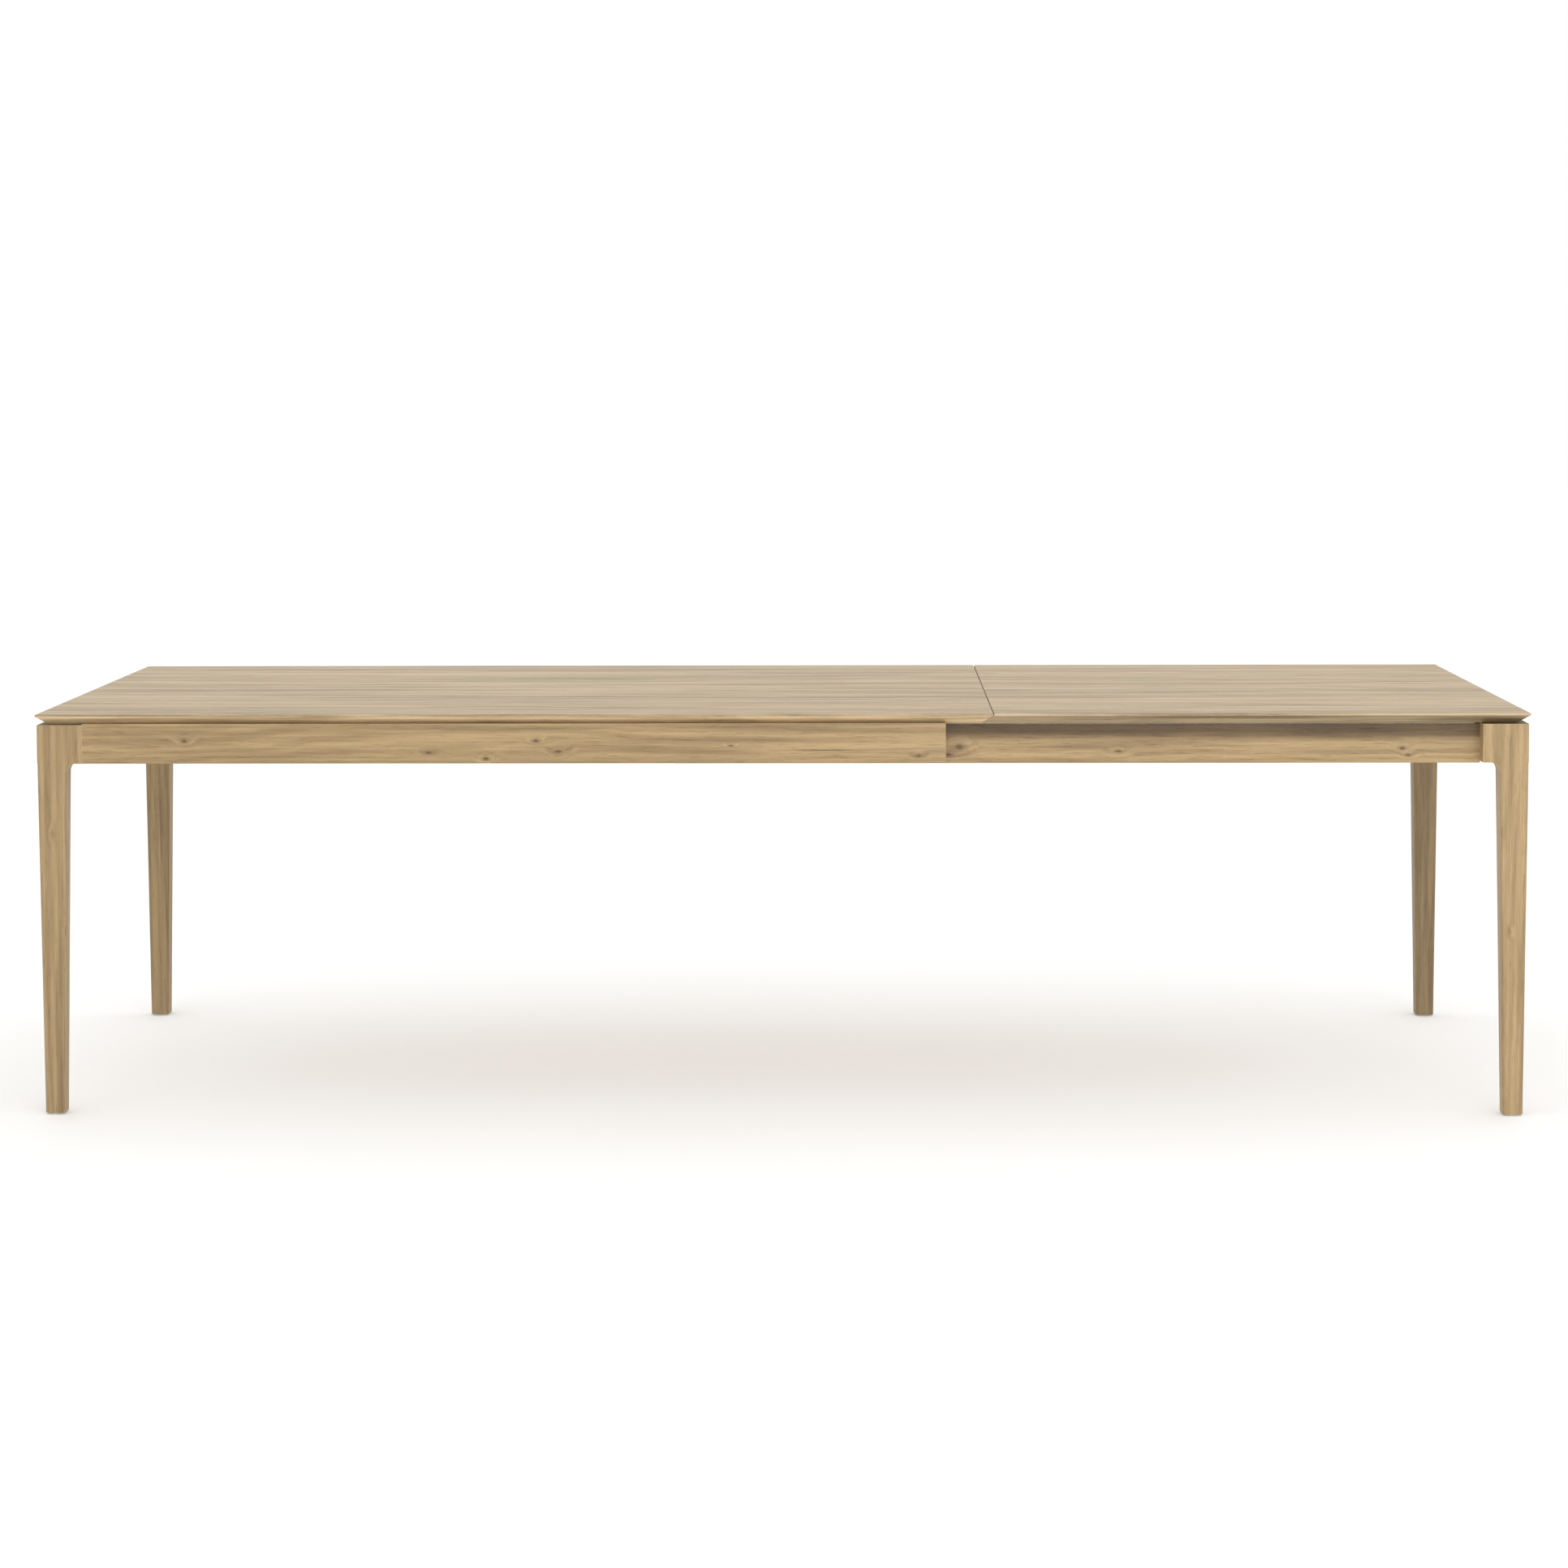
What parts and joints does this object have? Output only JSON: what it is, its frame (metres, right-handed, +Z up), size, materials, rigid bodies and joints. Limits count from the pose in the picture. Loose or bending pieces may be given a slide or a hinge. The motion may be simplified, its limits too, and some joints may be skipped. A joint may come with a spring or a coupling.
{
  "type": "extendable dining table",
  "caption": "Long oak dining table with an undercut top, a removable end leaf and a sliding frame with tapered legs.",
  "frame": {"origin": "on the floor under the middle of the extended table", "axes": "+X along the table towards the leaf that pulls out, -Y is the front, +Z up"},
  "size_m": [2.8, 1, 0.76],
  "materials": {
    "oak_top": "oiled oak, long grain along X",
    "oak_leg": "oiled oak, grain upright",
    "oak_apron": "oiled knotty oak, grain along the board",
    "oak_hidden": "planed oak",
    "beech": "fluted dowel",
    "aluminium": "anodised",
    "nylon": "matt",
    "steel": "zinc plated"
  },
  "bodies": {
    "main_frame": {"apron_back_outer": "oak_apron", "apron_dowels": "beech", "apron_front_outer": "oak_apron", "apron_left_end": "oak_apron", "bearer_keepers": "steel", "channel_screws": "steel", "channel_stops": "nylon", "corner_block_back_left": "oak_hidden", "corner_block_front_left": "oak_hidden", "corner_bolts_fixed": "steel", "corner_nuts_fixed": "steel", "corner_washers_fixed": "steel", "keeper_screws": "steel", "leaf_lock_pivot_back": "steel", "leaf_lock_pivot_front": "steel", "leg_back_left": "oak_leg", "leg_front_left": "oak_leg", "leg_glides_fixed": "nylon", "main_top": "oak_top", "slide_channel_back": "aluminium", "slide_channel_front": "aluminium", "top_stiffeners": "steel", "top_stiffeners_screws": "steel"},
    "sliding_frame": {"apron_back_inner": "oak_apron", "apron_front_inner": "oak_apron", "apron_right_end": "oak_apron", "corner_block_back_right": "oak_hidden", "corner_block_front_right": "oak_hidden", "corner_bolts_sliding": "steel", "corner_nuts_sliding": "steel", "corner_washers_sliding": "steel", "cross_rail_dowels": "beech", "cross_rail_end": "oak_hidden", "cross_rail_middle": "oak_hidden", "glide_strip_back": "nylon", "glide_strip_front": "nylon", "leg_back_right": "oak_leg", "leg_front_right": "oak_leg", "leg_glides_sliding": "nylon", "shoe_screws": "steel", "slide_shoes": "nylon"},
    "leaf": {"leaf_bearer_back": "steel", "leaf_bearer_front": "steel", "leaf_dowels": "beech", "leaf_panel": "oak_top", "leaf_stiffeners": "steel", "leaf_stiffeners_screws": "steel", "bearer_screws": "steel"},
    "lock_lever_front": {"leaf_lock_lever_front": "steel"},
    "lock_lever_back": {"leaf_lock_lever_back": "steel"}
  },
  "joints": [
    {"name": "frame_slide", "type": "slide", "parent": "main_frame", "child": "sliding_frame", "axis": [1, 0, 0], "range_m": [-1, 0.05]},
    {"name": "leaf_draw", "type": "slide", "parent": "main_frame", "child": "leaf", "axis": [1, 0, 0], "range_m": [0, 0.25]},
    {"name": "lock_front", "type": "hinge", "parent": "main_frame", "child": "lock_lever_front", "pos_m": [0.3, -0.2793, 0.735], "axis": [0, 0, 1], "range_deg": [0, 90]},
    {"name": "lock_back", "type": "hinge", "parent": "main_frame", "child": "lock_lever_back", "pos_m": [0.3, 0.2793, 0.735], "axis": [0, 0, 1], "range_deg": [-90, 0]}
  ]
}
